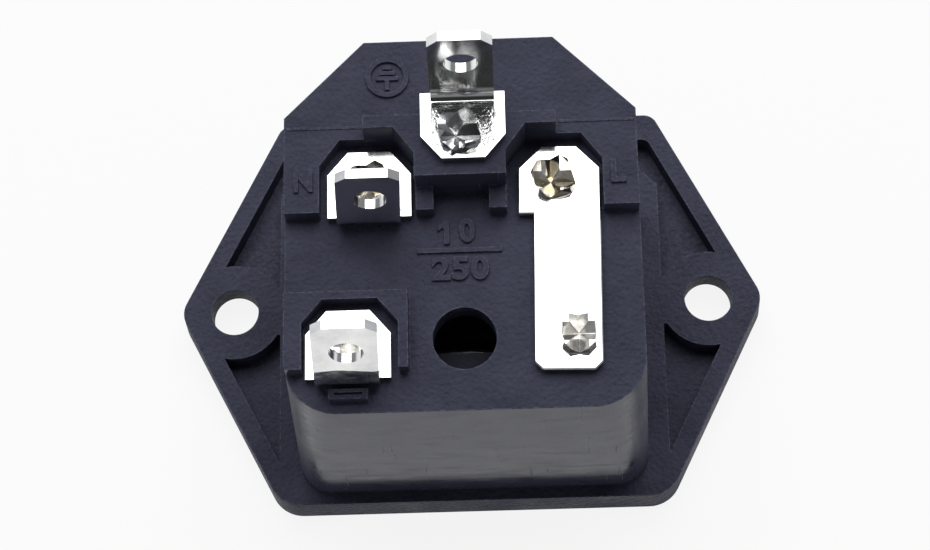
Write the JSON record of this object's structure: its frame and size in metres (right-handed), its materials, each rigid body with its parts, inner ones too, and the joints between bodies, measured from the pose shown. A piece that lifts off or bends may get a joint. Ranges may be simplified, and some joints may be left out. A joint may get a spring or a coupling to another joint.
{
  "type": "fused iec panel inlet",
  "caption": "Screw-mounted mains inlet for a panel: flanged body with a pin socket and a sliding fuse drawer in front, and bent solder tabs on its rear face.",
  "frame": {"origin": "midway between the two screw holes, on the front face of the flange", "axes": "+X along the screw row, +Y from the fuse drawer to the earth pin, +Z from the front face to the rear terminals"},
  "size_m": [0.049, 0.034, 0.0369],
  "materials": {
    "housing_plastic": "black, fine spark-eroded texture",
    "drawer_plastic": "black, fine texture",
    "pin_metal": "nickel plated, rubbed to brass where staked",
    "plated_sheet": "bright plated sheet",
    "clip_metal": "spring bronze",
    "fuse_glass": "clear",
    "fuse_cap": "bright plated",
    "fuse_wire": "tinned wire"
  },
  "bodies": {
    "inlet": {"housing": "housing_plastic", "earth_pin": "pin_metal", "neutral_pin": "pin_metal", "line_pin": "pin_metal", "earth_terminal": "plated_sheet", "neutral_terminal": "plated_sheet", "output_terminal": "plated_sheet", "line_strap": "plated_sheet", "fuse_clip_output": "clip_metal", "fuse_clip_line": "clip_metal", "clip_rivet_output": "pin_metal", "clip_rivet_line": "pin_metal"},
    "drawer": {"fuse_drawer": "drawer_plastic", "fuse_glass": "fuse_glass", "fuse_cap_left": "fuse_cap", "fuse_cap_right": "fuse_cap", "fuse_wire": "fuse_wire", "spare_fuse_glass": "fuse_glass", "spare_fuse_cap_left": "fuse_cap", "spare_fuse_cap_right": "fuse_cap", "spare_fuse_wire": "fuse_wire"}
  },
  "joints": [
    {"name": "fuse_drawer_slide", "type": "slide", "parent": "inlet", "child": "drawer", "axis": [0, 0, -1], "range_m": [0, 0.02]}
  ]
}
